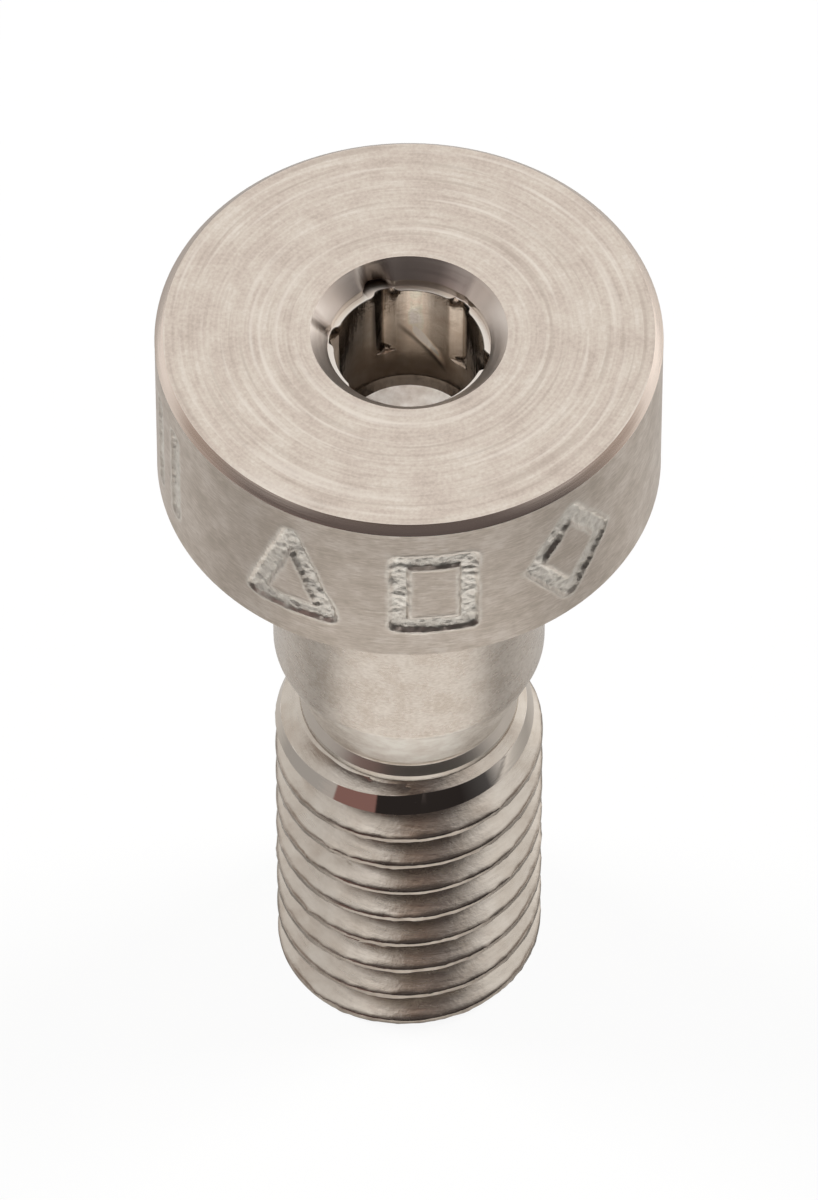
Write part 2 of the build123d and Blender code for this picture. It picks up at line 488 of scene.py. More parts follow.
def thread_rod_tree(material):
    """A threaded rod as one sheet wound along the helix, rounded at crest and root, with torn crests."""
    tree = bpy.data.node_groups.new("threaded rod", "GeometryNodeTree")
    tree.interface.new_socket("Geometry", in_out="INPUT", socket_type="NodeSocketGeometry")
    tree.interface.new_socket("Geometry", in_out="OUTPUT", socket_type="NodeSocketGeometry")
    sizes = {
        "Pitch": PITCH * MM,
        "Major Radius": MAJOR_RADIUS * MM,
        "Root Radius": (ROOT_RADIUS - ROOT_SINK) * MM,
        "Crest Width": CREST_WIDTH * MM,
        "Crest Height at X": CREST_AT_X * MM,
        "First Turn": -1.5,
        "Turns": 11.0,
        "Crest Rounding": CREST_ROUND * MM,
        "Root Rounding": ROOT_ROUND * MM,
        "Burr": BURR * MM,
        "Swell Start": (COLLAR_LOW - 0.08) * MM,
        "Swell End": (COLLAR_LOW + 0.02) * MM,
        "Around": AROUND,
        "Rows per Turn": 28,
        "Seed": 5,
    }
    for name, value in sizes.items():
        kind = "NodeSocketInt" if isinstance(value, int) else "NodeSocketFloat"
        socket = tree.interface.new_socket(name, in_out="INPUT", socket_type=kind)
        socket.default_value = value
    given = add(tree, "NodeGroupInput").outputs

    # A flat sheet: X goes once round, and Y goes along the helix
    columns = add(tree, MATH, (given["Around"], 1.0), "ADD")
    rows = (given["Turns"], given["Rows per Turn"], 1.0)
    rows = add(tree, MATH, rows, "MULTIPLY_ADD")
    sheet = add(tree, "GeometryNodeMeshGrid", (1.0, 1.0, columns, rows))
    place = add(tree, SEPARATE, (add(tree, "GeometryNodeInputPosition"),)).outputs
    around = add(tree, MATH, (place["X"], 0.5), "ADD")
    share = add(tree, MATH, (place["Y"], 0.5), "ADD")
    even = add(tree, MATH, (share, given["Turns"], given["First Turn"]), "MULTIPLY_ADD")

    # The rows crowd towards each crest, where the profile turns sharpest
    swing = add(tree, MATH, (even, math.tau), "MULTIPLY")
    swing = add(tree, MATH, (swing,), "SINE")
    along = add(tree, MATH, (swing, -CROWDING / math.tau, even), "MULTIPLY_ADD")

    turn = add(tree, MATH, (around, math.tau), "MULTIPLY")
    cosine = add(tree, MATH, (turn,), "COSINE")
    sine = add(tree, MATH, (turn,), "SINE")
    rise = add(tree, MATH, (along, around), "ADD")
    height = (rise, given["Pitch"], given["Crest Height at X"])
    height = add(tree, MATH, height, "MULTIPLY_ADD")

    # Distance along the axis from the nearest crest's edge, below 0 on the crest
    nearest = add(tree, MATH, (along,), "ROUND")
    off = add(tree, MATH, (along, nearest), "SUBTRACT")
    off = add(tree, MATH, (off,), "ABSOLUTE")
    off = add(tree, MATH, (off, given["Pitch"]), "MULTIPLY")
    past_crest = add(tree, MATH, (given["Crest Width"], -0.5, off), "MULTIPLY_ADD")
    flank = (past_crest, -1 / math.tan(math.radians(FLANK_ANGLE)), given["Major Radius"])
    flank = add(tree, MATH, flank, "MULTIPLY_ADD")
    crest = (given["Major Radius"], flank, given["Crest Rounding"])
    crest = add(tree, MATH, crest, "SMOOTH_MIN")
    profile = (crest, given["Root Radius"], given["Root Rounding"])
    profile = add(tree, MATH, profile, "SMOOTH_MAX")

    # Where each point would be on a plain rod: the torn edges follow the metal, not the sheet
    plain_x = add(tree, MATH, (cosine, given["Major Radius"]), "MULTIPLY")
    plain_y = add(tree, MATH, (sine, given["Major Radius"]), "MULTIPLY")
    plain = add(tree, COMBINE, (plain_x, plain_y, height))
    tearing = add(
        tree,
        NOISE,
        {
            "Vector": plain,
            "W": given["Seed"],
            "Scale": 1 / (TEAR_LENGTH * MM),
            "Detail": 2.0,
            "Roughness": 0.6,
        },
        noise_dimensions="4D",
    )
    tearing = add(tree, MAP_RANGE, (tearing, 0.45, 0.78, -0.4, 1.9))
    # A lip stands on each edge of the crest
    lip = add(tree, MATH, (past_crest, BURR_WIDTH * MM), "DIVIDE")
    lip = add(tree, MATH, (lip, 2.0), "POWER")
    lip = add(tree, MATH, (1.0, lip), "SUBTRACT", use_clamp=True)
    lip = add(tree, MATH, (lip, given["Burr"]), "MULTIPLY")
    radius = add(tree, MATH, (lip, tearing, profile), "MULTIPLY_ADD")

    # Above its last groove the rod swells clear of the collar and neck, which the envelope turns
    clear = (height, given["Swell Start"], given["Swell End"], 0.0, SWELL * MM)
    clear = add(tree, MAP_RANGE, clear, interpolation_type="SMOOTHSTEP")
    radius = add(tree, MATH, (radius, clear), "ADD")
    x = add(tree, MATH, (radius, cosine), "MULTIPLY")
    y = add(tree, MATH, (radius, sine), "MULTIPLY")
    wound = add(tree, COMBINE, (x, y, height))
    rod = add(tree, "GeometryNodeSetPosition", {"Geometry": sheet, "Position": wound})
    rod = add(tree, "GeometryNodeMergeByDistance", {"Geometry": rod, "Distance": MERGE_DISTANCE * MM})
    rod = add(tree, "GeometryNodeRealizeInstances", {"Geometry": rod})
    rod = add(tree, "GeometryNodeSetMaterial", {"Geometry": rod, "Material": material})
    add(tree, "NodeGroupOutput", {"Geometry": rod})
    return tree


def close_ends(mesh):
    """Close a rod's two open ends with fans to points on its axis."""
    with edited(mesh) as shape:
        rims = [e for e in shape.edges if e.is_boundary]
        middle = sum(v.co.z for v in shape.verts) / len(shape.verts)
        for side in (-1, 1):
            rim = [e for e in rims if (e.verts[0].co.z - middle) * side > 0]
            far = max(v.co.z * side for e in rim for v in e.verts) * side
            centre = shape.verts.new((0, 0, far))
            for edge in rim:
                shape.faces.new((edge.verts[0], edge.verts[1], centre))
        bmesh.ops.recalc_face_normals(shape, faces=shape.faces)


def thread_envelope():
    """What the thread is trimmed to: its flat end and edge break, the run-out cone and the neck."""
    clear = 3.0
    slope = math.tan(math.radians(RUN_OUT_ANGLE))
    cone_foot = THREAD_LENGTH - (clear - MAJOR_RADIUS) / slope
    collar = MAJOR_RADIUS - (COLLAR_HIGH - THREAD_LENGTH) * slope
    middle = ((RELIEF_RADIUS + collar) / 2, (RELIEF_HEIGHT + COLLAR_HIGH) / 2)
    neck = [(taper_radius(JOINT_HEIGHT), JOINT_HEIGHT), (RELIEF_RADIUS, RELIEF_HEIGHT), middle]
    profile = rounded(neck, RELIEF_BOTTOM_RADIUS, 5)
    # Under the collar the groove's side rises at 60 degrees to the cone
    root = collar + COLLAR_FLARE - COLLAR_UNDERCUT
    root_height = COLLAR_LOW - UNDERCUT_DROP
    rise = (MAJOR_RADIUS - root - (root_height - THREAD_LENGTH) * slope) / (1 / slope - slope)
    ring = [
        middle,
        (collar, COLLAR_HIGH),
        (collar + COLLAR_FLARE, COLLAR_LOW),
        (root, root_height),
        (root + rise / slope, root_height - rise),
        (root + rise / slope + 0.1 * slope, root_height - rise - 0.1),
    ]
    profile += rounded(ring, COLLAR_ROUND, 3)[1:-1]
    profile += [
        (clear, cone_foot),
        (clear, clear - MAJOR_RADIUS + TIP_CHAMFER),
        (MAJOR_RADIUS - TIP_CHAMFER, 0),
    ]
    rings = [on_circle(SHANK_ANGLES, radius, height) for radius, height in profile]
    mesh = shell_mesh("thread envelope", rings, closed_start=JOINT_HEIGHT, closed_end=0.0)
    with edited(mesh) as shape:
        bmesh.ops.recalc_face_normals(shape, faces=shape.faces)
    return mesh


def threaded_end(material):
    """The rod that the tree makes, trimmed to the envelope."""
    rod = linked("threaded rod", bpy.data.meshes.new("threaded rod"))
    winding = rod.modifiers.new("winding", "NODES")
    winding.node_group = thread_rod_tree(material)
    rod_mesh = evaluated(rod)
    rod.modifiers.remove(winding)
    close_ends(rod_mesh)
    rod.data = rod_mesh
    blank = linked("thread envelope", thread_envelope())
    cut = blank.modifiers.new("cut", "BOOLEAN")
    cut.operation = "INTERSECT"
    cut.solver = "EXACT"
    cut.object = rod
    mesh = evaluated(blank)
    blank.modifiers.remove(cut)
    with edited(mesh) as shape:
        bmesh.ops.dissolve_degenerate(shape, dist=0.0015 * MM, edges=shape.edges)
    bpy.data.objects.remove(rod)
    bpy.data.objects.remove(blank)
    return mesh


# ---------------------------------------------------------------- the whole bolt

# An edge that bends by more than this is sharp
SHARP_ANGLE = math.radians(28)
# How near a face is to a surface that it belongs to
NEAR = 0.01
NEAR_CONE = 0.006
# How deep the head's side goes at the bottom of its marks
SIDE_DEPTH = 0.18


def whole_bolt(materials):
    """Head, shoulder and threaded end as one closed mesh, with a material for each finish."""
    rings, struck = head_rings(head_angles())
    head = shell_mesh("head", rings, closed_start=rings[0][0][2])
    mark = head.attributes.new("struck", "FLOAT", "POINT")
    mark.data.foreach_set("value", np.append(struck.ravel(), 0.0))
    shoulder = shell_mesh("shoulder", shoulder_rings())
    end = threaded_end(materials["cut thread"])

    shape = bmesh.new()
    for mesh in (head, shoulder):
        shape.from_mesh(mesh)
    first = len(shape.faces)
    shape.from_mesh(end)
    shape.faces.ensure_lookup_table()
    # The threaded end's flat cap gives way to the shoulder's open end
    joint = JOINT_HEIGHT * MM
    cap = [f for f in shape.faces[first:] if all(abs(v.co.z - joint) < 1e-8 for v in f.verts)]
    bmesh.ops.delete(shape, geom=cap, context="FACES")
    neck = [v for v in shape.verts if abs(v.co.z - joint) < 1e-8]
    bmesh.ops.remove_doubles(shape, verts=neck, dist=0.002 * MM)
    # The seat closes the ring between the head's foot and the shoulder
    edges = [e for e in shape.edges if e.is_boundary]
    seat = [e for e in edges if all(abs(v.co.z - SEAT * MM) < 1e-7 for v in e.verts)]
    bmesh.ops.triangle_fill(shape, use_beauty=True, edges=seat, normal=(0, 0, -1))
    loose = [v for v in shape.verts if not v.link_faces]
    bmesh.ops.delete(shape, geom=loose, context="VERTS")
    bmesh.ops.recalc_face_normals(shape, faces=shape.faces)

    order = list(materials)
    for face in shape.faces:
        face.material_index = order.index(finish_of(face))
        face.smooth = True
    for edge in shape.edges:
        one, other = edge.link_faces
        changes = one.material_index != other.material_index
        edge.smooth = not changes and edge.calc_face_angle() < SHARP_ANGLE
    bolt = bpy.data.meshes.new("shoulder_bolt_finished")
    for material in materials.values():
        bolt.materials.append(material)
    shape.to_mesh(bolt)
    shape.free()
    return linked("shoulder_bolt_finished", bolt)


def finish_of(face):
    """Which finish a face has, by where it is on the bolt."""
    middle = face.calc_center_median() / MM
    radius, height, upward = math.hypot(middle.x, middle.y), middle.z, face.normal.z
    if height > SEAT - NEAR:
        return head_finish(radius, height, upward)
    if height > JOINT_HEIGHT:
        return "ground shoulder"
    cone = MAJOR_RADIUS - (height - THREAD_LENGTH) * math.tan(math.radians(RUN_OUT_ANGLE))
    on_cone = abs(radius - cone) < NEAR_CONE and upward > 0.3
    if on_cone and THREAD_LENGTH - 0.3 < height < RELIEF_HEIGHT:
        return "run-out cone"
    if height > RELIEF_HEIGHT - 0.1 or (height > THREAD_LENGTH and radius < RELIEF_RADIUS + NEAR):
        return "turned relief"
    return "faced end" if height < NEAR / 2 else "cut thread"


def head_finish(radius, height, upward):
    """Which finish a face of the head has, by its middle and how far up it faces."""
    if radius > HEAD_RADIUS - HEAD_TOP_CHAMFER and height > TOP - HEAD_TOP_CHAMFER - NEAR:
        return "turned edge"
    if radius > HEAD_RADIUS - SIDE_DEPTH and height > SEAT + NEAR / 2:
        return "ground side"
    if height > TOP - NEAR:
        return "faced top"
    if radius > COUNTERBORE_RADIUS - 2 * NEAR and height > TOP - COUNTERBORE_DEPTH:
        return "turned mouth"
    if radius > COUNTERSINK_RADIUS:
        return "turned relief"
    if upward > 0.9 and height > TOP - BROACH_DEPTH + 0.2:
        return "bright ledge"
    if radius < PILOT_RADIUS - PILOT_FLOOR_CHAMFER and height < TOP - PILOT_DEPTH + NEAR:
        return "drilled floor"
    return "broached wall"


# ---------------------------------------------------------------- finishes of the steel

def empty_tree(owner):
    """The node tree of a material or a world, with nothing in it."""
    owner.use_nodes = True
    owner.node_tree.nodes.clear()
    return owner.node_tree


def bare_metal(name):
    """A new material, its tree, and the place on the bolt in millimetres."""
    material = bpy.data.materials.new(name)
    tree = empty_tree(material)
    coordinates = add(tree, "ShaderNodeTexCoord").outputs["Object"]
    place = add(tree, VECTOR_MATH, (coordinates, 1 / MM), "SCALE")
    return material, tree, place


def steel(material, shade, roughness, bumps):
    """Make a material bare stainless steel: a warm grey metal that mirrors its surroundings.

    The bumps lie over one another, each a height from 0 to 1 with its depth in millimetres.
    """
    tree = material.node_tree
    surface = {"Metallic": 1.0, "Base Color": shade, "Roughness": roughness}
    for height, depth in bumps:
        bump = {"Height": height, "Distance": depth * MM, "Strength": 1.0}
        if "Normal" in surface:
            bump["Normal"] = surface["Normal"]
        surface["Normal"] = add(tree, "ShaderNodeBump", bump)
    shader = add(tree, "ShaderNodeBsdfPrincipled", surface)
    add(tree, "ShaderNodeOutputMaterial", {"Surface": shader})
    return material


def turning_lines(tree, place, spacing, run, across="height", detail=3.0):
    """Lines left by turning: they change over a spacing across the lay and over a run along it.

    The real ones are too fine to show, so they are drawn as coarse as they need to be.
    """
    if across == "height":
        stretch = (1 / run, 1 / run, 1 / spacing)
        lay = add(tree, VECTOR_MATH, (place, stretch), "MULTIPLY")
    else:
        flat = add(tree, VECTOR_MATH, (place, (1, 1, 0)), "MULTIPLY")
        radius = add(tree, VECTOR_MATH, (flat,), "LENGTH")
        apart = add(tree, MATH, (radius, 1 / spacing), "MULTIPLY")
        parts = add(tree, SEPARATE, (place,)).outputs
        x = add(tree, MATH, (parts["X"], 1 / run), "MULTIPLY")
        y = add(tree, MATH, (parts["Y"], 1 / run), "MULTIPLY")
        lay = add(tree, COMBINE, (apart, x, y))
    return add(tree, NOISE, {"Vector": lay, "Scale": 1.0, "Detail": detail, "Roughness": 0.55})


def mottle(tree, place, size, detail=3.0):
    """Soft uneven patches of a size in millimetres."""
    patches = {"Vector": place, "Scale": 1 / size, "Detail": detail, "Roughness": 0.6}
    return add(tree, NOISE, patches)


def clouded(tree, lines, clouds, low, high, *steps):
    """A shade that follows lines and clouds together, by where their sum is from low to high."""
    share = add(tree, MATH, (lines, clouds), "ADD")
    share = add(tree, MAP_RANGE, (share, low, high, 0, 1))
    return add(tree, RAMP, (share,), stops=shades(*steps))


def round_from_front(tree, place):
    """Degrees round from the front, positive to the right, of a place or a direction."""
    parts = add(tree, SEPARATE, (place,)).outputs
    away = add(tree, MATH, (parts["Y"], -1.0), "MULTIPLY")
    angle = add(tree, MATH, (parts["X"], away), "ARCTAN2")
    return add(tree, MATH, (angle,), "DEGREES")


def round_from_back(tree, place):
    """Degrees round from the back, positive to the right, of a place in the socket."""
    parts = add(tree, SEPARATE, (place,)).outputs
    angle = add(tree, MATH, (parts["X"], parts["Y"]), "ARCTAN2")
    return add(tree, MATH, (angle,), "DEGREES")


def bands_round(tree, azimuth, steps):
    """A grey level that follows (degrees, level) steps right round, from -180 to 180."""
    share = add(tree, MAP_RANGE, (azimuth, -180, 180, 0, 1))
    return add(tree, RAMP, (share,), stops=greys(steps, -180, 180))


def within_edges(tree, share, value, edges):
    """A share that fades to 0 outside each of its edges, given as (none, full) values."""
    for none, full in edges:
        inside = add(tree, MAP_RANGE, (value, none, full, 0, 1))
        share = add(tree, MATH, (share, inside), "MULTIPLY")
    return share


def faced_top():
    """Faced on the lathe with a light feed: a fine pale grain, and a few long arcs that catch light."""
    material, tree, place = bare_metal("stainless steel, faced top")
    rings = turning_lines(tree, place, 0.07, 1.6, across="radius", detail=4.0)
    arcs = turning_lines(tree, place, 0.13, 3.5, across="radius", detail=1.0)
    flecks = mottle(tree, place, 0.06, detail=2.0)
    clouds = mottle(tree, place, 0.7, detail=4.0)
    mixed = add(tree, MATH, (rings, clouds), "ADD")
    mixed = add(tree, MATH, (flecks, 0.8, mixed), "MULTIPLY_ADD")
    mixed = add(tree, MAP_RANGE, (mixed, 1.0, 1.8, 0, 1))
    greyed = shades((0.0, "#BCAEA2"), (0.4, "#CEC0B4"), (0.6, "#D4C8BB"), (1.0, "#E0D6CB"))
    shade = add(tree, RAMP, (mixed,), stops=greyed)
    bright = add(tree, MAP_RANGE, (arcs, 0.58, 0.75, 0, 0.6))
    shade = add(tree, MIX, (bright, shade, colour("#EAE1D6")), data_type="RGBA")
    dark = add(tree, MAP_RANGE, (arcs, 0.3, 0.4, 0.35, 0))
    shade = add(tree, MIX, (dark, shade, colour("#B3A599")), data_type="RGBA")
    rough = add(tree, MAP_RANGE, (clouds, 0.3, 0.7, 0.32, 0.4))
    return steel(material, shade, rough, [(rings, 0.0016), (flecks, 0.0012)])


def turned_edge():
    """The head's chamfer, cut by a sharp tool: smooth, so it mirrors the dark side of the room."""
    material, tree, place = bare_metal("stainless steel, turned edge")
    lines = turning_lines(tree, place, 0.03, 2.0)
    rough = add(tree, MAP_RANGE, (lines, 0.3, 0.7, 0.18, 0.27))
    return steel(material, colour("#ECDCCF"), rough, [(lines, 0.0015)])


# Painted light and shade on the countersink, by degrees from the back, positive to the right
MOUTH_PAINTED_LIGHT = [
    (-180, 0.85), (-100, 0.95), (-92, 1.05), (-87, 1.16), (-56, 1.16), (-48, 1.0), (-38, 0.95),
    (-22, 0.85), (-2, 0.64), (20, 0.66), (28, 1.0), (40, 1.14), (54, 1.1), (60, 0.95), (92, 0.95),
    (108, 1.1), (140, 1.1), (180, 0.8),
]


def turned_mouth():
    """The socket's countersink: turned, then rubbed by the broach, so it mirrors softly, with painted
    light and shade round it.
    """
    material, tree, place = bare_metal("stainless steel, turned mouth")
    torn = add(tree, "ShaderNodeAttribute", attribute_name="struck").outputs["Fac"]
    shade = add(tree, MIX, (torn, colour("#EFE4DA"), colour("#6A5C52")), data_type="RGBA")
    # Painted light and shade, by degrees round
    bands = bands_round(tree, round_from_back(tree, place), MOUTH_PAINTED_LIGHT)
    shade = add(tree, MIX, (1.0, shade, bands), data_type="RGBA", blend_type="MULTIPLY")
    lines = turning_lines(tree, place, 0.03, 2.0)
    rough = add(tree, MAP_RANGE, (lines, 0.3, 0.7, 0.28, 0.38))
    return steel(material, shade, rough, [(lines, 0.0015)])


def faced_end():
    """The thread's flat end, parted off and faced: fine rings, as on the top."""
    material, tree, place = bare_metal("stainless steel, faced end")
    rings = turning_lines(tree, place, 0.06, 1.2, across="radius")
    shade = add(tree, RAMP, (rings,), stops=shades((0.3, "#C4B8AB"), (0.7, "#DBD1C5")))
    rough = add(tree, MAP_RANGE, (rings, 0.3, 0.7, 0.28, 0.42))
    return steel(material, shade, rough, [(rings, 0.003)])


def ground_side():
    """The head's side, ground matte: a fine grain round the axis, and pale crushed marks."""
    material, tree, place = bare_metal("stainless steel, ground side")
    grind = turning_lines(tree, place, 0.035, 0.2, detail=4.0)
    clouds = mottle(tree, place, 0.5)
    struck = add(tree, "ShaderNodeAttribute", attribute_name="struck").outputs["Fac"]
    greyed = ((0.0, "#CBBEB0"), (0.5, "#DACDC0"), (1.0, "#E9DED3"))
    shade = clouded(tree, grind, clouds, 0.75, 1.25, *greyed)
    crushed = mottle(tree, place, 0.12)
    crushed = add(tree, RAMP, (crushed,), stops=shades((0.3, "#E2DACF"), (0.7, "#FFF9EF")))
    shade = add(tree, MIX, (struck, shade, crushed), data_type="RGBA")
    rough = add(tree, MAP_RANGE, (struck, 0, 1, 0.42, 0.36))
    pits = mottle(tree, place, 0.05)
    pits = add(tree, MATH, (struck, pits), "MULTIPLY")
    return steel(material, shade, rough, [(grind, 0.0045), (pits, 0.012)])


# Painted light and shade on the socket wall, by degrees from the back, positive to the right
WALL_PAINTED_LIGHT = [
    (-180, 0.8), (-90, 0.9), (-66, 0.8), (-60, 0.38), (-38, 0.36), (-31, 0.62), (-28, 0.2),
    (-20.5, 0.2), (-18.5, 1.5), (-15, 1.1), (-9, 0.75), (-4, 1.1), (1, 1.55), (10, 1.55),
    (17, 0.85), (30, 0.7), (34, 1.3), (41, 1.4), (43, 0.9), (48, 0.33), (85, 0.36), (110, 0.8),
    (180, 0.8),
]
# A painted shade for deep in the socket
DEEP_PAINTED_SHADE = colour("#BCB6B1")
# A dark helical line falls by this much a degree, from this height at the back, with a brighter band
# above it
HELIX_LINE_SLOPE = 0.029
HELIX_LINE_START = TOP - 1.66
BAND_ABOVE_LINE = 0.2


def broached_wall():
    """The socket's wall: drilled smooth, then scraped downwards by the broach in its corners, with
    painted light and shade.
    """
    material, tree, place = bare_metal("stainless steel, broached wall")
    scraped = add(tree, VECTOR_MATH, (place, (9.0, 9.0, 0.7)), "MULTIPLY")
    streaks = add(tree, NOISE, {"Vector": scraped, "Scale": 1.0, "Detail": 3.0})
    shade = mottle(tree, place, 0.6)
    shade = add(tree, RAMP, (shade,), stops=shades((0.35, "#CDC1B5"), (0.65, "#E6DED5")))

    # Painted shade darkens the wall beside the corners and low down, and painted light makes bands
    # bright
    height = add(tree, SEPARATE, (place,)).outputs["Z"]
    turn = round_from_back(tree, place)
    bands = bands_round(tree, turn, WALL_PAINTED_LIGHT)
    low = add(tree, MAP_RANGE, (height, TOP - 2.4, TOP - 1.35, 1.0, 0.0))
    bands = add(tree, MIX, (low, bands, DEEP_PAINTED_SHADE), data_type="RGBA")
    # Painted shade at the foot of the wall, by the floor
    floor = TOP - PILOT_DEPTH
    foot = add(tree, MAP_RANGE, (height, floor + 0.08, floor + 0.2, 0.55, 1.0))
    # One dark helical line, with a band above it that is up to three times as bright
    helix_line = add(tree, MATH, (turn, HELIX_LINE_SLOPE, height), "MULTIPLY_ADD")
    helix_line = add(tree, MATH, (helix_line, HELIX_LINE_START), "SUBTRACT")
    dark_line = add(tree, MATH, (helix_line,), "ABSOLUTE")
    dark_line = add(tree, MAP_RANGE, (dark_line, 0.02, 0.12, 1, 0))
    dark_line = within_edges(tree, dark_line, turn, ((-10, -3), (32, 25)))
    bright_band = add(tree, MATH, (helix_line, BAND_ABOVE_LINE), "SUBTRACT")
    bright_band = add(tree, MATH, (bright_band,), "ABSOLUTE")
    bright_band = add(tree, MAP_RANGE, (bright_band, 0.03, 0.18, 1, 0))
    bright_band = within_edges(tree, bright_band, turn, ((2, 9), (30, 23)))
    mark = add(tree, MATH, (bright_band, 2.0, 1.0), "MULTIPLY_ADD")
    mark = add(tree, MATH, (dark_line, -0.6, mark), "MULTIPLY_ADD")
    level = add(tree, MATH, (foot, mark), "MULTIPLY")
    shade = add(tree, MIX, (1.0, shade, bands), data_type="RGBA", blend_type="MULTIPLY")
    shade = add(tree, VECTOR_MATH, (shade, level), "SCALE")
    rough = add(tree, MAP_RANGE, (streaks, 0.35, 0.65, 0.12, 0.26))
    return steel(material, shade, rough, [(streaks, 0.006), (mottle(tree, place, 0.35), 0.012)])


def drilled_floor():
    """The pilot's floor: pale and mottled, with the drill's rings almost gone."""
    material, tree, place = bare_metal("stainless steel, drilled floor")
    patches = mottle(tree, place, 0.25)
    rings = turning_lines(tree, place, 0.08, 1.5, across="radius")
    shade = add(tree, RAMP, (patches,), stops=shades((0.3, "#DAD0C5"), (0.7, "#FFFAF2")))
    return steel(material, shade, 0.4, [(rings, 0.003), (patches, 0.006)])


def bright_ledge():
    """The ledge under the socket's mouth, rubbed bright by the broach."""
    material, tree, place = bare_metal("stainless steel, bright ledge")
    return steel(material, colour("#DCD4CB"), 0.3, [(mottle(tree, place, 0.1), 0.004)])


def ground_shoulder():
    """The shoulder, ground to size: a speckled fine grain that still holds a bright streak.

    Its rounded lower end is polished and paler, partly as painted light, and a painted highlight makes
    it palest in front.
    """
    material, tree, place = bare_metal("stainless steel, ground shoulder")
    grind = turning_lines(tree, place, 0.04, 0.08, detail=3.0)
    clouds = mottle(tree, place, 0.45)
    dull = clouded(tree, grind, clouds, 0.75, 1.25, (0.0, "#C3B6A9"), (1.0, "#DDD3C8"))
    pale = ((0.0, "#CBBFB2"), (0.5, "#E4DACE"), (1.0, "#F6EFE6"))
    bright = clouded(tree, grind, clouds, 0.7, 1.3, *pale)
    height = add(tree, SEPARATE, (place,)).outputs["Z"]
    # The rounded lower end: polished and rougher, and paler partly as painted light
    polished_with_painted_light = (height, SHOULDER_END - 0.12, SHOULDER_END + 0.06, 1, 0)
    polished_with_painted_light = add(tree, MAP_RANGE, polished_with_painted_light)
    shade = add(tree, MIX, (polished_with_painted_light, dull, bright), data_type="RGBA")
    # A painted highlight on the front of the rounded end, palest there
    sideways = add(tree, MATH, (round_from_front(tree, place),), "ABSOLUTE")
    bright_band = add(tree, MAP_RANGE, (sideways, 16, 34, 1, 0))
    bright_band = add(tree, MATH, (bright_band, polished_with_painted_light), "MULTIPLY")
    painted_highlight_shade = add(tree, RAMP, (clouds,), stops=shades((0.3, "#EBE1D6"), (0.6, "#FFFAF1")))
    shade = add(tree, MIX, (bright_band, shade, painted_highlight_shade), data_type="RGBA")
    rough = add(tree, MAP_RANGE, (clouds, 0.3, 0.7, 0.24, 0.32))
    rough = add(tree, MIX, (polished_with_painted_light, rough, 0.56))
    grind = add(tree, MIX, (polished_with_painted_light, grind, 0.5))
    return steel(material, shade, rough, [(grind, 0.0018)])


def turned_relief():
    """The undercut and the seat, finish turned: pale, softly clouded, with a few scored lines."""
    material, tree, place = bare_metal("stainless steel, turned relief")
    lines = turning_lines(tree, place, 0.05, 1.5)
    clouds = mottle(tree, place, 0.35)
    pale = ((0.0, "#CBBFB2"), (0.5, "#E2D8CC"), (1.0, "#F1E9DF"))
    shade = clouded(tree, lines, clouds, 0.75, 1.25, *pale)
    rough = add(tree, MAP_RANGE, (lines, 0.3, 0.7, 0.34, 0.46))
    return steel(material, shade, rough, [(lines, 0.0015)])


# The cone's upper end is rubbed dull between these heights
CONE_SMOOTH_TO = 6.85
CONE_DULL_FROM = 6.95


def run_out_cone():
    """Where the thread runs out: one smooth turned cone, as good as a mirror below."""
    material, tree, place = bare_metal("stainless steel, run-out cone")
    lines = turning_lines(tree, place, 0.06, 2.0)
    height = add(tree, SEPARATE, (place,)).outputs["Z"]
    rough = add(tree, MAP_RANGE, (height, CONE_SMOOTH_TO, CONE_DULL_FROM, 0.05, 0.34))
    return steel(material, colour("#D8CEC3"), rough, [(lines, 0.0012)])


def cut_thread():
    """The thread, cut by a die: smooth flanks with an uneven stain, and torn crests that stay dull."""
    material, tree, place = bare_metal("stainless steel, cut thread")
    stain = mottle(tree, place, 0.7)
    shade = add(tree, RAMP, (stain,), stops=shades((0.3, "#BCB0A3"), (0.5, "#C7BDB1"), (0.7, "#CFC6BB")))
    flat = add(tree, VECTOR_MATH, (place, (1, 1, 0)), "MULTIPLY")
    radius = add(tree, VECTOR_MATH, (flat,), "LENGTH")
    crest = add(tree, MAP_RANGE, (radius, MAJOR_RADIUS - 0.06, MAJOR_RADIUS - 0.02, 0, 1))
    dull = mottle(tree, place, 0.3)
    dull = add(tree, RAMP, (dull,), stops=shades((0.35, "#A79B8F"), (0.65, "#BFB4A8")))
    shade = add(tree, MIX, (crest, shade, dull), data_type="RGBA")
    lines = turning_lines(tree, place, 0.05, 0.8)
    rough = add(tree, MAP_RANGE, (lines, 0.3, 0.7, 0.14, 0.3))
    return steel(material, shade, rough, [(lines, 0.0025), (mottle(tree, place, 0.12), 0.004)])


# ---------------------------------------------------------------- floor, light and camera

FLOOR_SIZE = 3.0
SEEN_WHITE_SHARE = 0.92
MIRRORED_WHITE_SHARE = 0.1
# How bright the paper looks in the steel, by metres from the bolt: a painted pool of light, then the
# room's painted shade
POOL_TO_FRONT = [(0.0155, 1.0), (0.021, 0.55), (0.029, 0.06), (0.2, 0.03)]
POOL_TO_LEFT = [(0.008, 0.6), (0.012, 0.65), (0.019, 0.62), (0.03, 0.44), (0.2, 0.5)]
POOL_TO_RIGHT = [
    (0.008, 0.57), (0.012, 0.65), (0.019, 0.62), (0.03, 0.46), (0.06, 0.55), (0.2, 0.85),
]
POOL_REACH = 0.2
PAINTED_GREY_REFLECTION = colour("#B5B3B1")
BLACK = colour("#000000")
WHITE = colour("#FFFFFF")


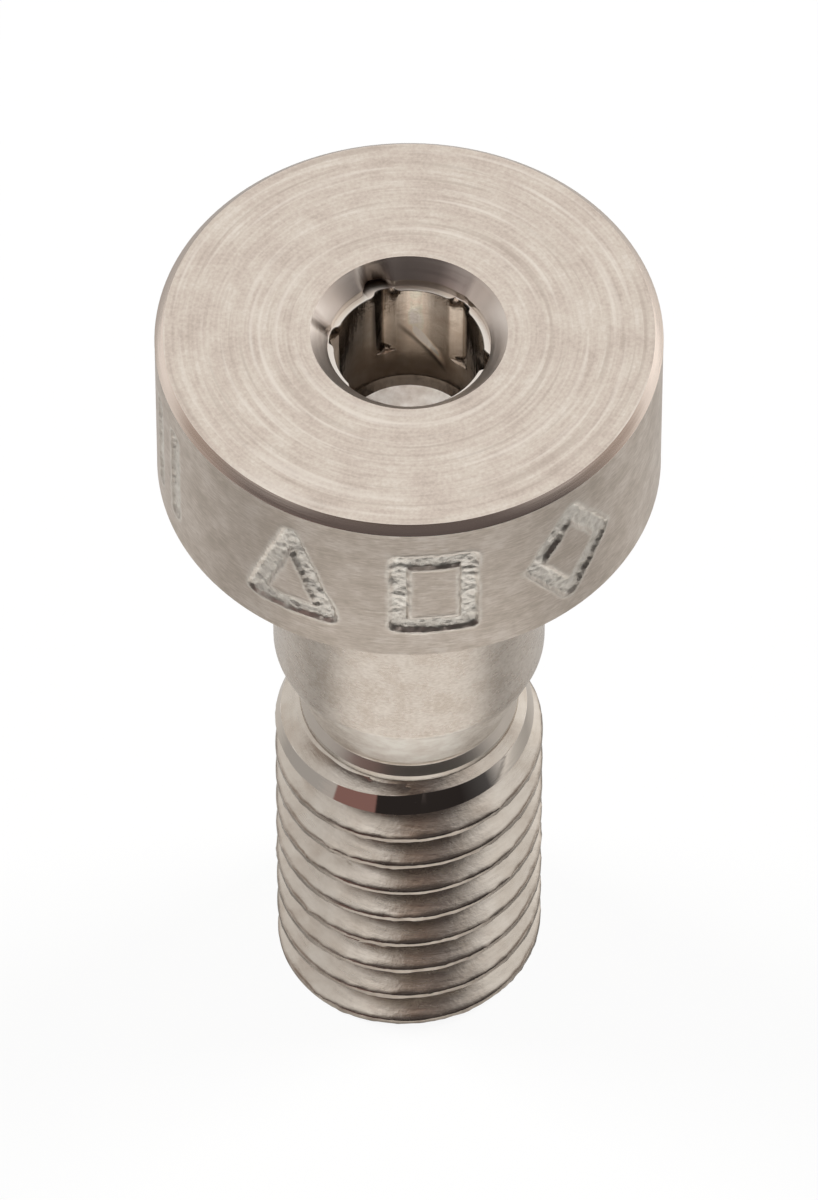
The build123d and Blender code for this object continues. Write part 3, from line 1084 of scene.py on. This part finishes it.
def white_floor():
    """A sheet of matt white paper, kept white where it is seen and still taking the bolt's shadow.

    The steel mirrors it as a painted pool of light round the bolt, with painted grey far to the left.
    """
    material = bpy.data.materials.new("matt white paper")
    tree = empty_tree(material)
    path = add(tree, "ShaderNodeLightPath").outputs
    place = add(tree, "ShaderNodeTexCoord").outputs["Object"]
    away = add(tree, VECTOR_MATH, (place,), "LENGTH")
    away = add(tree, MAP_RANGE, (away, 0, POOL_REACH, 0, 1))
    azimuth = round_from_front(tree, place)
    left, front, right = [
        add(tree, RAMP, (away,), stops=greys(pool, 0, POOL_REACH))
        for pool in (POOL_TO_LEFT, POOL_TO_FRONT, POOL_TO_RIGHT)
    ]
    share = add(tree, MAP_RANGE, (azimuth, -75, -50, 0, 1))
    pool = add(tree, MIX, (share, left, front), data_type="RGBA")
    share = add(tree, MAP_RANGE, (azimuth, 50, 75, 0, 1))
    pool = add(tree, MIX, (share, pool, right), data_type="RGBA")
    # Far to the left the paper is painted grey where the steel mirrors it, running up to the grey thing
    far = add(tree, MAP_RANGE, (away, 0.12, 0.2, 0, 1))
    foot = add(tree, MAP_RANGE, (azimuth, -57, -55, 1, 0))
    foot = add(tree, MATH, (foot, far), "MULTIPLY")
    pool = add(tree, MIX, (foot, pool, PAINTED_GREY_REFLECTION), data_type="RGBA")
    # Only the steel sees the painted pool and grey; the camera sees even white paper
    level = add(tree, MIX, (path["Is Glossy Ray"], 1.0, pool))
    sheet = add(tree, MIX, (level, BLACK, colour("#F4F3F1")), data_type="RGBA")
    paper = add(tree, "ShaderNodeBsdfDiffuse", {"Color": sheet})
    white = add(tree, "ShaderNodeEmission", {"Color": WHITE, "Strength": level})
    seen = (path["Is Camera Ray"], path["Is Transmission Ray"])
    seen = add(tree, MATH, seen, "MAXIMUM")
    share = add(tree, MATH, (seen, SEEN_WHITE_SHARE), "MULTIPLY")
    mirrored = add(tree, MAP_RANGE, (foot, 0, 1, MIRRORED_WHITE_SHARE, 1.0))
    share = (path["Is Glossy Ray"], mirrored, share)
    share = add(tree, MATH, share, "MULTIPLY_ADD")
    mixed = add(tree, "ShaderNodeMixShader", (share, paper, white))
    add(tree, "ShaderNodeOutputMaterial", {"Surface": mixed})
    half = FLOOR_SIZE / 2
    corners = [(-half, -half, 0), (half, -half, 0), (half, half, 0), (-half, half, 0)]
    mesh = bpy.data.meshes.new("floor")
    mesh.from_pydata(corners, [], [(0, 1, 2, 3)])
    mesh.materials.append(material)
    return linked("floor", mesh)


# How bright the room is towards the front, by degrees above the horizon, and its cast
FRONT_LEVELS = [
    (0, 0.025), (14, 0.03), (38, 0.125), (53, 0.085), (60, 0.115), (68, 0.25), (78, 0.6), (90, 1.3),
]
FRONT_CAST = (1.08, 0.95, 0.95)
# How bright the walls are, by degrees from the front, positive to the right
WALL_LEVELS = [
    (-180, 1.0), (-130, 0.9), (-90, 0.8), (-55, 1.15), (0, 1.0), (70, 1.05), (96, 0.98),
    (112, 0.95), (122, 1.2), (134, 1.2), (150, 1.0), (180, 1.0),
]
SPILL_ON_FLOOR = 0.2
CEILING = grey(1.3)
# Warm to the left of the front and cool to the right, overhead only
FRONT_TINTS = shades(
    (0.0, "#EADCCB"), (0.3, "#E4CFB8"), (0.5, "#DACEC4"), (0.75, "#D0D2D2"), (1.0, "#D8D8D8")
)
TINT_GAIN = 1.45
BROWN_THING = colour("#906F6C")
GREY_THING = colour("#BFBDBC")
RIGHT_DUSK = colour("#555557")
SIDE_DUSK = colour("#A29790")
# What stands low down in front: where it starts and is full, in degrees round, and its colour
FRONT_THINGS = ((-23.8, -25.2, BROWN_THING), (-55.3, -56.7, GREY_THING), (40, 62, RIGHT_DUSK))
# Where the front gives way to a wall, as (start, end) degrees: low down, higher up and overhead
RIGHT_WALL = ((62, 90), (42, 72), (30, 72))
LEFT_WALL = ((-66, -92), (-38, -80), (-15, -47))


def dark_front(tree, azimuth, height):
    """The dark of an open room low down in front, with two things in it, and a tint overhead."""
    front = add(tree, MAP_RANGE, (height, 0, 90, 0, 1))
    front = add(tree, RAMP, (front,), stops=greys(FRONT_LEVELS, 0, 90))
    front = add(tree, VECTOR_MATH, (front, FRONT_CAST), "MULTIPLY")
    low = add(tree, MAP_RANGE, (height, 14, 24, 1, 0))
    for start, end, thing in FRONT_THINGS:
        beyond = add(tree, MAP_RANGE, (azimuth, start, end, 0, 1))
        share = add(tree, MATH, (beyond, low), "MULTIPLY")
        front = add(tree, MIX, (share, front, thing), data_type="RGBA")
    tint = add(tree, MAP_RANGE, (azimuth, -60, 60, 0, 1))
    tint = add(tree, RAMP, (tint,), stops=FRONT_TINTS)
    tinted = add(tree, MIX, (1.0, front, tint), data_type="RGBA", blend_type="MULTIPLY")
    tinted = add(tree, VECTOR_MATH, (tinted, TINT_GAIN), "SCALE")
    share = add(tree, MAP_RANGE, (height, 44, 60, 0, 1))
    return add(tree, MIX, (share, front, tinted), data_type="RGBA")


def bright_walls(tree, azimuth, height):
    """White walls and ceiling, and a dimmer band at each side."""
    walls = bands_round(tree, azimuth, WALL_LEVELS)
    sideways = add(tree, MATH, (azimuth,), "ABSOLUTE")
    share = add(tree, MAP_RANGE, (sideways, 98, 114, 1, 0))
    share = within_edges(tree, share, height, ((9, 14), (38, 28)))
    walls = add(tree, MIX, (share, walls, SIDE_DUSK), data_type="RGBA")
    ceiling = add(tree, MAP_RANGE, (height, 50, 80, 0, 1))
    return add(tree, MIX, (ceiling, walls, CEILING), data_type="RGBA")


def studio_room():
    """White walls and ceiling round a dark front, which is wider low down than overhead."""
    world = bpy.data.worlds.new("studio room")
    bpy.context.scene.world = world
    tree = empty_tree(world)
    direction = add(tree, "ShaderNodeTexCoord").outputs["Generated"]
    azimuth = round_from_front(tree, direction)
    upward = add(tree, SEPARATE, (direction,)).outputs["Z"]
    height = add(tree, MATH, (upward,), "ARCSINE")
    height = add(tree, MATH, (height,), "DEGREES")
    high = add(tree, MAP_RANGE, (height, 28, 48, 0, 1))
    overhead = add(tree, MAP_RANGE, (height, 48, 60, 0, 1))
    sides = []
    for edges in (RIGHT_WALL, LEFT_WALL):
        lower, middle, upper = [
            add(tree, MAP_RANGE, (azimuth, start, end, 0, 1)) for start, end in edges
        ]
        side = add(tree, MIX, (high, lower, middle), data_type="RGBA")
        sides.append(add(tree, MIX, (overhead, side, upper), data_type="RGBA"))
    side = add(tree, MATH, sides, "MAXIMUM")
    front = dark_front(tree, azimuth, height)
    walls = bright_walls(tree, azimuth, height)
    room = add(tree, MIX, (side, front, walls), data_type="RGBA")
    path = add(tree, "ShaderNodeLightPath").outputs
    dim = add(tree, MIX, (path["Is Diffuse Ray"], 1.0, SPILL_ON_FLOOR))
    seen = add(tree, MIX, (path["Is Camera Ray"], room, WHITE), data_type="RGBA")
    light = add(tree, "ShaderNodeBackground", {"Color": seen, "Strength": dim})
    add(tree, "ShaderNodeOutputWorld", {"Surface": light})


LAMP_AZIMUTH = 110
LAMP_ELEVATION = 45
LAMP_DISTANCE = 0.35
LAMP_SIZE = 0.13
LAMP_POWER = 0.85


def soft_lamp(name, side):
    """A square soft box at one side, -1 for left and 1 for right, that points at the bolt."""
    lamp = bpy.data.lights.new(name, "AREA")
    lamp.size = LAMP_SIZE
    lamp.energy = LAMP_POWER
    thing = linked(name, lamp)
    turn = math.radians(LAMP_AZIMUTH)
    rise = math.radians(LAMP_ELEVATION)
    reach = LAMP_DISTANCE * math.cos(rise)
    place = (side * reach * math.sin(turn), -reach * math.cos(turn), LAMP_DISTANCE * math.sin(rise))
    thing.location = place
    aim = Vector((0, 0, TOP * MM / 2)) - Vector(place)
    thing.rotation_euler = aim.to_track_quat("-Z", "Y").to_euler()
    # The steel mirrors the room, not the lamps
    thing.visible_glossy = False


VIEW_DISTANCE = 0.25043
VIEW_ELEVATION = 51.67
VIEW_AIM = (0, 0, 0.00979)
VIEW_LENS = 410.6


def viewpoint():
    """A long lens above the front, aimed at the shoulder."""
    camera = bpy.data.cameras.new("camera")
    camera.lens = VIEW_LENS
    camera.clip_start = 0.01
    thing = linked("camera", camera)
    rise = math.radians(VIEW_ELEVATION)
    offset = Vector((0, -math.cos(rise), math.sin(rise))) * VIEW_DISTANCE
    thing.location = Vector(VIEW_AIM) + offset
    thing.rotation_euler = (-offset).to_track_quat("-Z", "Y").to_euler()
    bpy.context.scene.camera = thing


# ---------------------------------------------------------------- everything in place

finishes = {
    "faced top": faced_top(),
    "turned edge": turned_edge(),
    "turned mouth": turned_mouth(),
    "faced end": faced_end(),
    "ground side": ground_side(),
    "broached wall": broached_wall(),
    "drilled floor": drilled_floor(),
    "bright ledge": bright_ledge(),
    "ground shoulder": ground_shoulder(),
    "turned relief": turned_relief(),
    "run-out cone": run_out_cone(),
    "cut thread": cut_thread(),
}
bolt = whole_bolt(finishes)
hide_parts("shoulder_bolt")
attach(bolt, "root")

white_floor()
studio_room()
soft_lamp("left soft box", -1)
soft_lamp("right soft box", 1)
viewpoint()
bpy.context.scene.view_settings.view_transform = "Standard"
